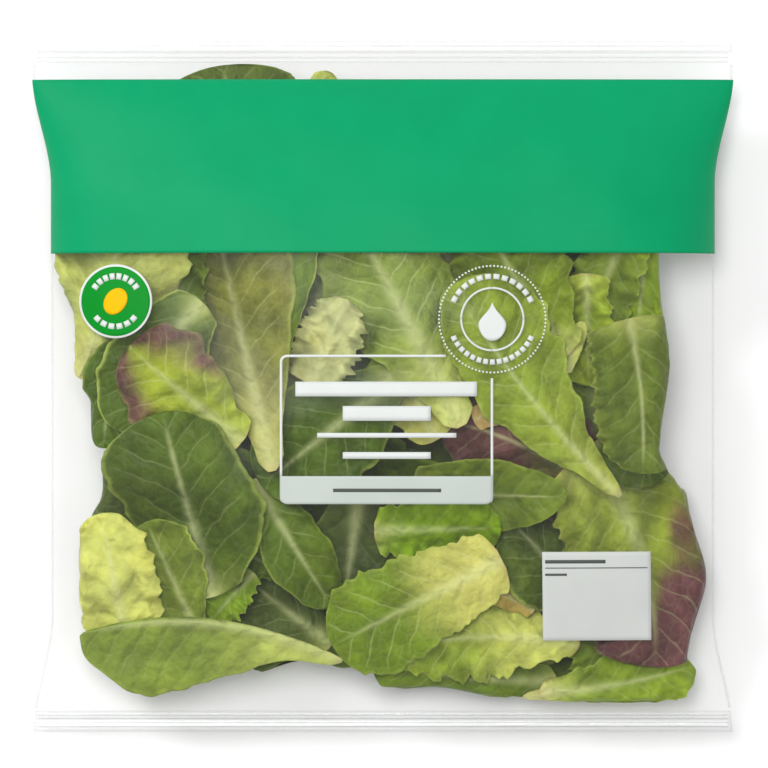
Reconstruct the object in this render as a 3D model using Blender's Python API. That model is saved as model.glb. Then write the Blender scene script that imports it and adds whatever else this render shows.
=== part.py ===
"""A pillow bag of salad leaves, lying on its back with its front up.

The bag is a tube of film, flattened and welded straight across at both ends, so it is one closed
solid: a cushion that is flat where it rests, tapers to a thin flange at each end, and is nipped in
along its sides where the filling draws the film together. +Y is the top end of the bag, +Z its
front, and the origin is under its middle, on the surface that it rests on. Units are metres.
"""

import math

import bmesh
import bpy

# Driving dimensions of the film
SEAL_WIDTH = 0.250        # width of the flattened tube, along the end seals
BAG_LENGTH = 0.248        # from tooth tip to tooth tip
BODY_WIDTH = 0.2365       # width where the filling rounds the tube out
SEAL_DEPTH = 0.0085       # the welded band at each end
FILM_EDGE = 0.0008        # thickness left where front and back film meet

# The filled cushion
FILL_HEIGHT = 0.056       # from the table to the highest point of the front
SEAM_HEIGHT = 0.019       # height of the end seals above the table
ROW_POWER = 2.4           # how squarely the cushion rises across its width
ROW_ROUND = 0.50          # a half power turns the film round the sides like a tube
END_POWER = 2.6           # the same two along its length, where the film leaves the seals
END_ROUND = 0.85
FLAT_FROM = 0.84          # share of the full swell above which the back lies flat

# The necked-in sides, measured from each end of the bag
TOP_NECK = (0.012, 0.052)
BOTTOM_NECK = (0.001, 0.043)

# Gentle hollows that the leaves leave in the front: depth, waves across, waves along, phase
HOLLOWS = (
    (0.0016, 2.1, 1.3, 0.4),
    (0.0012, 3.4, 2.6, 2.1),
    (0.0009, 1.6, 4.3, 4.0),
)

# Serrated ends
TEETH_PER_COLUMN = 5
TOOTH_DEPTH = 0.0006

COLUMNS = 33
ROWS = 34

FILM_COLOUR = (0.34, 0.46, 0.20, 1.0)
NODE = "bag"


def smoothstep(low, high, value):
    """Ease from 0 to 1 between low and high."""
    x = min(max((value - low) / (high - low), 0.0), 1.0)
    return x * x * (3.0 - 2.0 * x)


def half_width(y):
    """Half the bag's width at a place along its length."""
    from_top = BAG_LENGTH / 2 - y
    from_bottom = BAG_LENGTH / 2 + y
    filled = smoothstep(*TOP_NECK, from_top) * smoothstep(*BOTTOM_NECK, from_bottom)
    return (SEAL_WIDTH + (BODY_WIDTH - SEAL_WIDTH) * filled) / 2


def swell(across, y):
    """How far the cushion is blown up at a point, from 0 at its edges to 1 in the middle."""
    along = min(abs(y) / (BAG_LENGTH / 2 - SEAL_DEPTH), 1.0)
    side = (1.0 - abs(across) ** ROW_POWER) ** ROW_ROUND
    end = (1.0 - along ** END_POWER) ** END_ROUND
    return side * end


def hollow(across, y):
    """Depth of the soft dents in the front film."""
    along = y / (BAG_LENGTH / 2)
    depth = 0.0
    for size, waves_across, waves_along, phase in HOLLOWS:
        wave = math.sin(math.pi * (waves_across * across + waves_along * along) + phase)
        depth += size * (0.5 - 0.5 * wave)
    return depth


def front_height(across, y):
    """Height of the front film above the table."""
    rise = swell(across, y)
    crown = (FILL_HEIGHT - SEAM_HEIGHT - FILM_EDGE / 2) * rise
    return SEAM_HEIGHT + FILM_EDGE / 2 + crown - hollow(across, y) * rise


def back_height(across, y):
    """Height of the back film above the table, exactly 0 over the part that rests."""
    short_of_flat = 1.0 - min(swell(across, y) / FLAT_FROM, 1.0)
    return (SEAM_HEIGHT - FILM_EDGE / 2) * short_of_flat ** 2


def length_at(row):
    """Place along the bag of a row of the grid: the first and last strips are the end seals."""
    if row == 0:
        return -BAG_LENGTH / 2 + TOOTH_DEPTH
    if row == ROWS:
        return BAG_LENGTH / 2 - TOOTH_DEPTH
    body = BAG_LENGTH / 2 - SEAL_DEPTH
    return body * math.sin(math.pi / 2 * ((row - 1) / (ROWS - 2) * 2.0 - 1.0))


def spread(across, y):
    """Draw the columns towards the sides, where the film turns over, but keep the seals even."""
    rounded = math.sin(math.pi / 2 * across)
    return across + (rounded - across) * 0.7 * min(swell(0.0, y) * 1.5, 1.0)


def cut_teeth(bm):
    """Divide the two end edges and push every second point out into a tooth."""
    limit = 1.0 - 0.5 / ROWS
    ends = [edge for edge in bm.edges if all(abs(vert.co.y) > limit for vert in edge.verts)]
    divided = bmesh.ops.subdivide_edges(bm, edges=ends, cuts=2 * TEETH_PER_COLUMN - 1)
    segments = COLUMNS * 2 * TEETH_PER_COLUMN
    tips = set()
    for element in divided["geom_inner"]:
        if isinstance(element, bmesh.types.BMVert):
            place = round((element.co.x + 1.0) / 2.0 * segments)
            if place % 2 == 1:
                tips.add(element)
    return tips


def shape_sheet(bm, tips):
    """Lay the flat grid over the front of the cushion, and return each point's place on it."""
    places = {}
    for vert in bm.verts:
        row = round((vert.co.y + 1.0) / 2.0 * ROWS)
        y = length_at(row)
        across = spread(vert.co.x, y)
        places[vert] = (across, y)
    for vert, (across, y) in places.items():
        tooth = math.copysign(TOOTH_DEPTH, y) if vert in tips else 0.0
        vert.co = (across * half_width(y), y + tooth, front_height(across, y))
    return places


def close_back(bm, places):
    """Extrude the front sheet and drop the new layer onto the back of the cushion."""
    below = {}
    for vert, place in places.items():
        below[(round(vert.co.x, 7), round(vert.co.y, 7))] = place
    made = bmesh.ops.extrude_face_region(bm, geom=bm.faces[:])
    for element in made["geom"]:
        if isinstance(element, bmesh.types.BMVert):
            across, y = below[(round(element.co.x, 7), round(element.co.y, 7))]
            element.co.z = back_height(across, y)


def film_material():
    """The look of the filled bag as one body: leaves seen through glossy film."""
    material = bpy.data.materials.new("filled_film")
    material.use_nodes = True
    shader = material.node_tree.nodes["Principled BSDF"]
    shader.inputs["Base Color"].default_value = FILM_COLOUR
    shader.inputs["Roughness"].default_value = 0.25
    shader.inputs["Metallic"].default_value = 0.0
    return material


def make_bag(collection):
    """The whole filled bag as one closed solid."""
    bm = bmesh.new()
    bmesh.ops.create_grid(bm, x_segments=COLUMNS, y_segments=ROWS, size=1.0)
    tips = cut_teeth(bm)
    places = shape_sheet(bm, tips)
    close_back(bm, places)
    bmesh.ops.recalc_face_normals(bm, faces=bm.faces[:])
    mesh = bpy.data.meshes.new(NODE)
    bm.to_mesh(mesh)
    bm.free()
    mesh.shade_smooth()
    mesh.set_sharp_from_angle(angle=math.radians(40))
    mesh.materials.append(film_material())
    bag = bpy.data.objects.new(NODE, mesh)
    collection.objects.link(bag)
    return bag


def main():
    for old in list(bpy.data.objects):
        bpy.data.objects.remove(old, do_unlink=True)
    collection = bpy.data.collections.new("salad_bag")
    bpy.context.scene.collection.children.link(collection)
    make_bag(collection)


main()
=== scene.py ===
"""The looks of a pillow bag of butterhead leaves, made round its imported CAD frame.

The clear film follows the form of the CAD solid. Its print lies on it as thin conforming pieces.
Inside, real leaves are laid one by one: the front ones from the film downwards, the back ones from
the table upwards, and loose ones between them. Lengths in this script are in millimetres until a
mesh is made, and +Y is the top end of the bag.
"""

import math

import bpy
import numpy as np
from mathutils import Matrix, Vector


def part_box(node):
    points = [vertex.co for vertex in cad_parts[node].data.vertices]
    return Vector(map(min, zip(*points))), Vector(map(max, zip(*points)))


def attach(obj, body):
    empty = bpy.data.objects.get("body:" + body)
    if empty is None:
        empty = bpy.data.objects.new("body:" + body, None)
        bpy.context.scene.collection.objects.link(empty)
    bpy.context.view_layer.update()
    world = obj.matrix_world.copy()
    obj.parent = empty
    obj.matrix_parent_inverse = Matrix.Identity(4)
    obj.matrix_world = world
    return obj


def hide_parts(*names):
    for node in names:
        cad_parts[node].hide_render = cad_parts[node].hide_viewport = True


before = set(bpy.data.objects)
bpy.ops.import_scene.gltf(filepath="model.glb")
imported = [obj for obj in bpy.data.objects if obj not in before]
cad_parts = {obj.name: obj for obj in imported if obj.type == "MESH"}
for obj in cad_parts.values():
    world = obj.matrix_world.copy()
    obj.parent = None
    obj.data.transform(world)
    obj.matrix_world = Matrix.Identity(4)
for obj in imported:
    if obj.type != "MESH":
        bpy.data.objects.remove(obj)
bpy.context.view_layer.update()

MM = 0.001
BODY = "root"

# The film's form, as the frame gives it and as the CAD solid is shaped
BOX_LOW, BOX_HIGH = [np.array(corner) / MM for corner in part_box("bag")]
SEAL_WIDTH = float(BOX_HIGH[0] - BOX_LOW[0])
BAG_LENGTH = float(BOX_HIGH[1] - BOX_LOW[1])
BODY_WIDTH = 236.5
SEAL_DEPTH = 8.5
SEAM_HEIGHT = 19.0
FILL_HEIGHT = 56.0
ROW_POWER = 2.4
ROW_ROUND = 0.50
END_POWER = 2.6
END_ROUND = 0.85
FLAT_FROM = 0.84
TOP_NECK = (12.0, 52.0)
BOTTOM_NECK = (1.0, 43.0)
HOLLOWS = ((1.6, 2.1, 1.3, 0.4), (1.2, 3.4, 2.6, 2.1), (0.9, 1.6, 4.3, 4.0))
TEETH = 165
TOOTH_DEPTH = 0.6

# Film finish
FILM_GAP = 0.30           # between front and back film at the welds
BACK_LIFT = 0.40          # the back film clears the table by the folded fin under it
SEAL_RIBS = 4
RIB_HEIGHT = 0.16
CREASES = 26              # that fan out of the end seals
SLACK = 0.25              # height of the soft ripples in the film
SLACK_SIZE = 26.0
SLACK_SPAN = 118.0        # half the width that they are laid out on
WELD_LINES_TOP = (5.2, 6.8, 8.4)      # from the end of the bag
WELD_LINES_BOTTOM = (2.8, 4.2, 5.6, 7.0)
WELD_LINE = 0.45
MARK_THICK = 0.06
SIDE_FOLD = (0.9895, 0.9975)          # the folded side edge, in shares of the half width
FIN_WIDTH = 12.0          # the lengthwise seam on the back
FIN_REACH = 100.0
FIN_RIB = 2.4             # pitch of the ribs pressed into it

# Print
INK_LIFT = 0.16           # height of the ink over the film's smooth form
INK_THICK = 0.08
INK_STEP = 0.12           # one ink over another
BAND_LOW, BAND_HIGH = 47.2, 109.2
PANEL_LEFT, PANEL_RIGHT = -36.3, 38.9
PANEL_TOP, PANEL_BOTTOM = 11.2, -41.5
PANEL_FOOT = 9.9
PANEL_ROUND = 2.2
LINE = 0.9
TITLE_BARS = (            # middle, length, level, height
    (1.2, 64.0, -0.9, 5.2),
    (1.4, 31.0, -9.5, 5.2),
    (1.4, 49.0, -17.2, 1.7),
    (1.4, 31.0, -24.3, 2.4),
)
FOOT_BAR = (-17.5, 20.5, -37.2, -36.0)        # left, right, bottom, top
RING_CENTRE = (38.6, 23.7)
RING_OUTER = 19.2         # radii of the round mark: its dots, its dashes and its thin ring
RING_DASHES = 15.1
RING_INNER = 11.0
BADGE_CENTRE = (-94.5, 30.1)
BADGE_RADIUS = 13.1
BADGE_DASHES = 8.9
BOX_LEFT, BOX_RIGHT = 56.2, 94.8
BOX_TOP, BOX_BOTTOM = -58.4, -90.0
BOX_MARGIN = 1.1

# Leaves
CELL = 1.5                # of the height fields that leaves are stacked by
STIFF = 6                 # cells over which a leaf bridges what lies above it
FIELD_X = np.arange(-SEAL_WIDTH / 2 - 3 * CELL, SEAL_WIDTH / 2 + 3 * CELL, CELL)
FIELD_Y = np.arange(-BAG_LENGTH / 2 - 3 * CELL, BAG_LENGTH / 2 + 3 * CELL, CELL)
FINE_GRID = (62, 43)      # points along and across a leaf that shows
LOOSE_GRID = (26, 17)
LEAF_GAP = 0.12           # between one leaf and the next
BLADE = 0.32              # thickness
BLISTER = 5.0             # size of the finest bumps
FOLD_ZONE = 5.0           # over which a leaf turns down at the edge of the filling
LOOSE_INSET = 4.0         # loose leaves stay this much further inside
LEAF_BALANCE = np.array([0.88, 0.92, 0.50])   # evens the tones under the hazy film
VEIN_SHARE = 0.7          # of the side veins that shows
VEIN_SPACING = 9.0        # between side veins along the midrib
LEAF_ROUGHNESS = 0.45
VEIN_COLOUR = (206, 212, 150)
RIM_COLOUR = (196, 208, 130)
FLUSH_COLOUR = (104, 62, 84)
CUT_COLOUR = (196, 158, 120)
FILL_TOP, FILL_BOTTOM = 118.0, -113.0         # ends of the filling along the bag
FILM_CLEARANCE = 0.9      # between the film and the leaves

# A leaf unless it says otherwise: its midrib's bow, its base's width as a share of its widest and
# where it is widest, the shares of its two halves and how far they roll down from the hinge on, the
# height and count of its margin's waves, its crumpling and the size of its bumps, how its ends
# drop, how far it hangs under what covers it, and 1 where its smooth face is up, -1 its ribbed one
LEAF_FORM = {
    "bow": 0.0, "stem": 0.2, "belly": 0.62, "skew": 0.0, "end": 2.3, "left": 1.0, "right": 1.0,
    "curl_left": 0.3, "curl_right": 0.3, "hinge": 0.35, "ruffle": 1.2, "waves": 3.0,
    "lobes": 0.05, "rag": 0.012, "crumple": 0.8, "bumps": 17.0, "folds": 4, "fold_high": 0.8,
    "arch": 1.0, "tip_drop": 1.5, "base_drop": 1.0, "drop": 0.0, "side": 1, "rib": 1.0,
    "fine": True,
}

# Its colour: how far the pale heart reaches, shares of the pale rim, the red flush, the veins and
# the browned cut, and where the flush begins on a scale that runs along and out over the leaf
LEAF_TONES = {
    "heart": 0.0, "pale": (208, 212, 148), "rim": 0.18, "veins": 0.45, "cut": 0.6,
    "red": 0.0, "red_from": 0.5, "red_along": 0.62, "red_out": 0.42,
}

# Tones of the blades
DEEP = (80, 101, 22)
MID = (98, 118, 32)
FRESH = (114, 138, 34)
VIVID = (126, 158, 4)
LIGHT = (140, 157, 58)
SOFT = (120, 137, 60)
OLIVE = (126, 128, 70)
GOLD = (152, 164, 52)
PALE = (206, 206, 136)
DULL = (78, 91, 46)
CREAM = (222, 214, 176)

# Stage
VIEW_WIDTH = 273.6        # across the picture, at the height of the end seals
CAMERA_HEIGHT = 3000.0
CAMERA_OFFSET = (0.43, 0.86)          # from over the middle of the bag
STUDIO_LIGHTS = (         # name, place in metres, size, power
    ("overhead", (-0.35, 0.6, 3.3), 1.3, 54.0),
    ("key", (-1.2, 1.0, 1.2), 0.5, 14.0),
    ("fill", (1.2, -0.6, 2.0), 1.5, 7.0),
)
SKY = 0.47                # strength of the even light from all round


# ---------------------------------------------------------------- small helpers

def smooth(low, high, value):
    """Ease from 0 to 1 between low and high."""
    x = np.clip((value - low) / (high - low), 0.0, 1.0)
    return x * x * (3.0 - 2.0 * x)


def rgb(red, green, blue):
    """A display colour, 0 to 255 a channel, as linear values."""
    c = np.array([red, green, blue]) / 255.0
    return np.where(c <= 0.04045, c / 12.92, ((c + 0.055) / 1.055) ** 2.4)


def mix(a, b, share):
    """Blend two colours by an array of shares."""
    share = np.asarray(share)[..., None]
    return a * (1.0 - share) + b * share


def waves_1d(rng, count, at):
    """A smooth random line: a few sines of about count waves, between -1 and 1."""
    total = np.zeros_like(at)
    for octave, size in ((1.0, 0.6), (1.7, 0.3), (2.9, 0.18)):
        turns = count * octave * rng.uniform(0.85, 1.15)
        total += size * np.sin(2 * np.pi * (turns * at + rng.uniform()))
    return total


def waves_2d(rng, length, x, y, parts=6):
    """A smooth random surface with bumps about length across, between -1 and 1."""
    total = np.zeros_like(x)
    for _ in range(parts):
        turn = rng.uniform(0, 2 * np.pi)
        reach = length * rng.uniform(0.7, 1.6)
        run = (x * math.cos(turn) + y * math.sin(turn)) / reach
        total += np.sin(2 * np.pi * (run + rng.uniform()))
    return total / math.sqrt(parts) / 1.4


# ---------------------------------------------------------------- form of the bag

def half_width(y):
    """Half the bag's width at a place along its length."""
    filled = smooth(*TOP_NECK, BAG_LENGTH / 2 - y) * smooth(*BOTTOM_NECK, BAG_LENGTH / 2 + y)
    return (SEAL_WIDTH + (BODY_WIDTH - SEAL_WIDTH) * filled) / 2


def swell(across, y):
    """How far the bag is blown up, from 0 at its edges to 1 in the middle."""
    along = np.clip(np.abs(y) / (BAG_LENGTH / 2 - SEAL_DEPTH), 0.0, 1.0)
    side = np.clip(1.0 - np.abs(across) ** ROW_POWER, 0.0, 1.0) ** ROW_ROUND
    return side * (1.0 - along ** END_POWER) ** END_ROUND


def front_height(across, y):
    """Height of the front film."""
    rise = swell(across, y)
    depth = 0.0
    for size, waves_across, waves_along, phase in HOLLOWS:
        angle = np.pi * (waves_across * across + waves_along * y * 2 / BAG_LENGTH) + phase
        depth = depth + size * (0.5 - 0.5 * np.sin(angle))
    return SEAM_HEIGHT + FILM_GAP / 2 + (FILL_HEIGHT - SEAM_HEIGHT - depth) * rise


def back_height(across, y):
    """Height of the back film."""
    short_of_flat = 1.0 - np.minimum(swell(across, y) / FLAT_FROM, 1.0)
    lowered = (SEAM_HEIGHT - FILM_GAP / 2 - BACK_LIFT) * short_of_flat ** 2
    return BACK_LIFT + lowered


def front_at(x, y):
    """Height of the front film over a point of the table."""
    return front_height(np.clip(x / half_width(y), -1.0, 1.0), y)


def back_at(x, y):
    """Height of the back film over a point of the table."""
    return back_height(np.clip(x / half_width(y), -1.0, 1.0), y)


# ---------------------------------------------------------------- meshes

def grid_quads(rows, columns, start=0):
    """Corner numbers of a grid's faces, facing up where rows run along +Y and columns +X."""
    index = start + np.arange(rows * columns).reshape(rows, columns)
    quads = [index[:-1, :-1], index[:-1, 1:], index[1:, 1:], index[1:, :-1]]
    return np.stack(quads, -1).reshape(-1, 4)


def rim_loop(rows, columns):
    """Points round the edge of a grid, in order, counter-clockwise seen from above."""
    index = np.arange(rows * columns).reshape(rows, columns)
    return np.concatenate([index[0, :-1], index[:-1, -1], index[-1, :0:-1], index[:0:-1, 0]])


def slab(top, bottom):
    """A closed thin body between two grids of points. Returns points and faces."""
    rows, columns = top.shape[:2]
    count = rows * columns
    upper = grid_quads(rows, columns)
    lower = grid_quads(rows, columns, count)[:, ::-1]
    ring = rim_loop(rows, columns)
    after = np.roll(ring, -1)
    walls = np.stack([ring, ring + count, after + count, after], -1)
    points = np.concatenate([top.reshape(-1, 3), bottom.reshape(-1, 3)])
    return points, np.concatenate([upper, lower, walls])


def new_object(name, points, quads, material):
    """A smooth-shaded mesh object from points in millimetres and four-cornered faces."""
    mesh = bpy.data.meshes.new(name)
    mesh.vertices.add(len(points))
    mesh.vertices.foreach_set("co", (points * MM).astype(np.float32).ravel())
    mesh.loops.add(quads.size)
    mesh.loops.foreach_set("vertex_index", quads.astype(np.int32).ravel())
    mesh.polygons.add(len(quads))
    mesh.polygons.foreach_set("loop_start", np.arange(0, quads.size, 4, dtype=np.int32))
    mesh.update(calc_edges=True)
    mesh.shade_smooth()
    mesh.materials.append(material)
    piece = bpy.data.objects.new(name, mesh)
    bpy.context.scene.collection.objects.link(piece)
    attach(piece, BODY)
    return piece


def add_values(piece, name, kind, values):
    """Store one value a point on a piece for its material."""
    layer = piece.data.attributes.new(name, kind, "POINT")
    field = "color" if kind == "FLOAT_COLOR" else "vector"
    layer.data.foreach_set(field, values.astype(np.float32).ravel())


# ---------------------------------------------------------------- node helpers

def new_material(name):
    """A material with only its Principled shader, and its nodes for adding more."""
    material = bpy.data.materials.new(name)
    material.use_nodes = True
    return material, material.node_tree, material.node_tree.nodes["Principled BSDF"]


def add_node(tree, kind, **settings):
    """A node with its properties and unlinked inputs set by name or number."""
    node = tree.nodes.new(kind)
    for key, value in settings.pop("inputs", {}).items():
        node.inputs[key].default_value = value
    for key, value in settings.items():
        setattr(node, key, value)
    return node


def maths(tree, operation, first, second=None, clamp=False):
    """A Math node on sockets or numbers, returning its result socket."""
    node = add_node(tree, "ShaderNodeMath", operation=operation, use_clamp=clamp)
    for place, value in ((0, first), (1, second)):
        if isinstance(value, bpy.types.NodeSocket):
            tree.links.new(value, node.inputs[place])
        elif value is not None:
            node.inputs[place].default_value = value
    return node.outputs[0]


def ramp(tree, value, low, high, to_low=0.0, to_high=1.0):
    """Ease a socket's value from one range to another."""
    node = add_node(tree, "ShaderNodeMapRange", interpolation_type="SMOOTHSTEP")
    ends = {"From Min": low, "From Max": high, "To Min": to_low, "To Max": to_high}
    for key, number in ends.items():
        node.inputs[key].default_value = number
    tree.links.new(value, node.inputs["Value"])
    return node.outputs["Result"]


def noise(tree, where, scale, detail):
    """A Noise Texture's value at a socket's places."""
    node = add_node(tree, "ShaderNodeTexNoise", inputs={"Scale": scale, "Detail": detail})
    tree.links.new(where, node.inputs["Vector"])
    return node.outputs["Fac"]


def carried(tree, name):
    """The three values that a piece's vector attribute carries."""
    source = add_node(tree, "ShaderNodeAttribute", attribute_name=name)
    parts = add_node(tree, "ShaderNodeSeparateXYZ")
    tree.links.new(source.outputs["Vector"], parts.inputs[0])
    return parts.outputs


def mix_colour(tree, share, first, second, blend="MIX"):
    """A Mix node on colours, from sockets or RGBA values."""
    node = add_node(tree, "ShaderNodeMix", data_type="RGBA", blend_type=blend)
    for place, value in ((0, share), (6, first), (7, second)):
        if isinstance(value, bpy.types.NodeSocket):
            tree.links.new(value, node.inputs[place])
        else:
            node.inputs[place].default_value = value
    return node.outputs[2]


# ---------------------------------------------------------------- materials

def off_side_vein(tree, along, across, seed, flat):
    """How far a point is from the nearest side vein, as a share of the veins' spacing.

    The veins leave the midrib at even steps, sweep towards the tip and waver a little.
    """
    sway = maths(tree, "SUBTRACT", noise(tree, flat, 0.09, 2.0), 0.5)
    sway = maths(tree, "MULTIPLY", sway, 7.0)
    reach = maths(tree, "ABSOLUTE", across)
    swept = maths(tree, "MULTIPLY", maths(tree, "POWER", reach, 0.86), 1.25)
    order = maths(tree, "ADD", maths(tree, "SUBTRACT", along, swept), sway)
    beat = maths(tree, "ADD", maths(tree, "MULTIPLY", order, 1 / VEIN_SPACING), seed)
    return maths(tree, "ABSOLUTE", maths(tree, "SUBTRACT", maths(tree, "FRACT", beat), 0.5))


def leaf_veins(tree, off_vein, off_net):
    """How much of a vein shows: side veins that fade at the edge, a fine net and the midrib."""
    edge, rib, show = carried(tree, "extra")
    side_vein = ramp(tree, off_vein, 0.075, 0.0)
    side_vein = maths(tree, "MULTIPLY", side_vein, ramp(tree, edge, 0.97, 0.55))
    fine_vein = maths(tree, "MULTIPLY", ramp(tree, off_net, 0.06, 0.0), 0.35)
    veins = maths(tree, "MAXIMUM", side_vein, fine_vein)
    veins = maths(tree, "MULTIPLY", veins, show, clamp=True)
    return maths(tree, "MAXIMUM", veins, rib, clamp=True)


def leaf_tone(tree, mottle, veins):
    """The leaf's tint, which carries painted shade from its relief, mottled, and paler along its
    veins.
    """
    tint = add_node(tree, "ShaderNodeAttribute", attribute_name="tint").outputs["Color"]
    shade = ramp(tree, mottle, 0.3, 0.7, 0.82, 1.14)
    grey = add_node(tree, "ShaderNodeCombineColor")
    for channel in range(3):
        tree.links.new(shade, grey.inputs[channel])
    mottled = mix_colour(tree, 1.0, tint, grey.outputs[0], "MULTIPLY")
    pale = mix_colour(tree, 0.70, tint, (*rgb(*VEIN_COLOUR), 1.0))
    return mix_colour(tree, maths(tree, "MULTIPLY", veins, 0.62), mottled, pale)


def leaf_bump(tree, flat, off_vein, off_net):
    """Relief of a blade that bulges between its veins, large and small, and is finely creased."""
    puff = maths(tree, "MULTIPLY", ramp(tree, off_net, 0.0, 0.45), 0.45)
    bulge = maths(tree, "MULTIPLY", ramp(tree, off_vein, 0.0, 0.42), 0.75)
    crease = maths(tree, "MULTIPLY", noise(tree, flat, 0.30, 3.0), 1.5)
    height = maths(tree, "ADD", maths(tree, "ADD", puff, bulge), crease)
    bump = add_node(tree, "ShaderNodeBump", inputs={"Strength": 0.65, "Distance": 0.0011})
    tree.links.new(height, bump.inputs["Height"])
    return bump.outputs[0]


def leaf_material(name):
    """Living leaf: its tint with painted shade in it, pale branching veins, a fine net, soft
    mottling and relief.
    """
    material, tree, shader = new_material(name)
    link = tree.links.new
    along, across, seed = carried(tree, "place")
    lie = add_node(tree, "ShaderNodeCombineXYZ")
    link(along, lie.inputs[0])
    link(across, lie.inputs[1])
    link(maths(tree, "MULTIPLY", seed, 37.0), lie.inputs[2])
    flat = lie.outputs[0]

    net = add_node(tree, "ShaderNodeTexVoronoi", feature="DISTANCE_TO_EDGE",
                   inputs={"Scale": 0.24, "Randomness": 1.0})
    link(flat, net.inputs["Vector"])
    off_net = net.outputs["Distance"]
    off_vein = off_side_vein(tree, along, across, seed, flat)
    mottle = noise(tree, flat, 0.12, 4.0)
    tone = leaf_tone(tree, mottle, leaf_veins(tree, off_vein, off_net))
    link(tone, shader.inputs["Base Color"])
    link(leaf_bump(tree, flat, off_vein, off_net), shader.inputs["Normal"])
    gloss = ramp(tree, mottle, 0.3, 0.7, LEAF_ROUGHNESS - 0.06, LEAF_ROUGHNESS + 0.08)
    link(gloss, shader.inputs["Roughness"])
    shader.inputs["Specular IOR Level"].default_value = 0.12
    return material


def film_material(name, alpha, colour=(0.66, 0.68, 0.67)):
    """Clear packing film: nearly see-through, with a faint milky haze and a gloss."""
    material, tree, shader = new_material(name)
    where = add_node(tree, "ShaderNodeTexCoord").outputs["Object"]
    rough = ramp(tree, noise(tree, where, 90.0, 3.0), 0.3, 0.7, 0.12, 0.21)
    tree.links.new(rough, shader.inputs["Roughness"])
    shader.inputs["Base Color"].default_value = (*colour, 1.0)
    shader.inputs["Alpha"].default_value = alpha
    shader.inputs["IOR"].default_value = 2.2
    return material


def print_material(name, colour):
    """Printing ink on film, with the faint unevenness of a printed field."""
    material, tree, shader = new_material(name)
    where = add_node(tree, "ShaderNodeTexCoord").outputs["Object"]
    share = ramp(tree, noise(tree, where, 55.0, 2.0), 0.35, 0.65)
    full = rgb(*colour)
    toned = mix_colour(tree, share, (*(full * 0.965), 1.0), (*full, 1.0))
    tree.links.new(toned, shader.inputs["Base Color"])
    shader.inputs["Roughness"].default_value = 0.5
    shader.inputs["Specular IOR Level"].default_value = 0.12
    return material


# ---------------------------------------------------------------- film

def film_rows():
    """Places along the bag of the film's rows: close together over the end seals."""
    seal = np.linspace(0.0, SEAL_DEPTH, 18)
    body = BAG_LENGTH / 2 - SEAL_DEPTH
    middle = body * np.sin(np.linspace(-np.pi / 2, np.pi / 2, 84))
    bottom = -BAG_LENGTH / 2 + seal
    return np.concatenate([bottom, middle[1:-1], -bottom[::-1]])


def seal_relief(y):
    """Height of the welded ribs that run across each end seal."""
    from_end = BAG_LENGTH / 2 - np.abs(y)
    band = smooth(1.6, 2.4, from_end) * smooth(SEAL_DEPTH, SEAL_DEPTH - 0.8, from_end)
    return RIB_HEIGHT * band * np.sin(2 * np.pi * SEAL_RIBS * (from_end - 1.8) / SEAL_DEPTH)


def film_wrinkles(across, y):
    """Fine creases that fan out of the end seals and slack ripples near the sides."""
    rng = np.random.default_rng(11)
    from_seal = BAG_LENGTH / 2 - SEAL_DEPTH - np.abs(y)
    fan = np.zeros_like(across + y)
    for place in rng.uniform(-0.95, 0.95, CREASES):
        width = rng.uniform(0.008, 0.022)
        reach = rng.uniform(9.0, 30.0)
        lean = rng.normal(0.0, 0.05)
        end = rng.choice((-1.0, 1.0))
        line = across - place - lean * from_seal / 30.0
        crease = np.exp(-(line / (width * (1.0 + from_seal.clip(0) / 22.0))) ** 2)
        fade = np.exp(-(from_seal / reach) ** 2) * (from_seal > 0) * (np.sign(y) == end)
        fan += rng.uniform(-0.5, 0.8) * crease * fade * smooth(0.0, 4.0, from_seal)
    slack = SLACK * waves_2d(rng, SLACK_SIZE, across * SLACK_SPAN, y, 8)
    return fan + slack * smooth(0.0, 12.0, from_seal) * smooth(0.0, 0.06, 1.0 - np.abs(across))


def make_film():
    """The bag's film: front and back in one skin, welded and serrated at both ends."""
    y = film_rows()
    u = np.linspace(-1.0, 1.0, 2 * TEETH + 1)
    across, along = np.meshgrid(u, y)
    fullness = np.minimum(swell(0.0, along) * 1.5, 1.0)
    across = across + (np.sin(np.pi / 2 * across) - across) * 0.7 * fullness
    x = across * half_width(along)
    crimp = seal_relief(along)
    front = front_height(across, along) + crimp + film_wrinkles(across, along)
    back = back_height(across, along) + crimp
    tooth = np.where(np.arange(len(u)) % 2 == 1, 0.0, TOOTH_DEPTH)
    place = along.copy()
    place[0] += tooth
    place[-1] -= tooth
    top = np.stack([x, place, front], -1)
    bottom = np.stack([x, place, back], -1)
    points, quads = slab(top, bottom)
    film = new_object("film", points, quads, film_material("clear_film", 0.032))
    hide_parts("bag")
    return film


def make_fin_seal():
    """The lengthwise seam on the back, folded flat against the film."""
    y = np.linspace(-FIN_REACH, FIN_REACH, 90)
    x = np.linspace(0.0, FIN_WIDTH, 14)
    across, along = np.meshgrid(x, y)
    rise = back_at(across, along)
    ribs = 0.04 * np.sin(2 * np.pi * across / FIN_RIB)
    top = np.stack([across, along, rise - 0.06], -1)
    bottom = np.stack([across, along, rise - 0.28 + ribs], -1)
    points, quads = slab(top, bottom)
    return new_object("fin_seal", points, quads, film_material("folded_film", 0.10))


def printed(name, patches, material):
    """Join thin patches of one material into one piece."""
    points, quads = [], []
    start = 0
    for pts, faces in patches:
        points.append(pts)
        quads.append(faces + start)
        start += len(pts)
    return new_object(name, np.concatenate(points), np.concatenate(quads), material)


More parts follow.
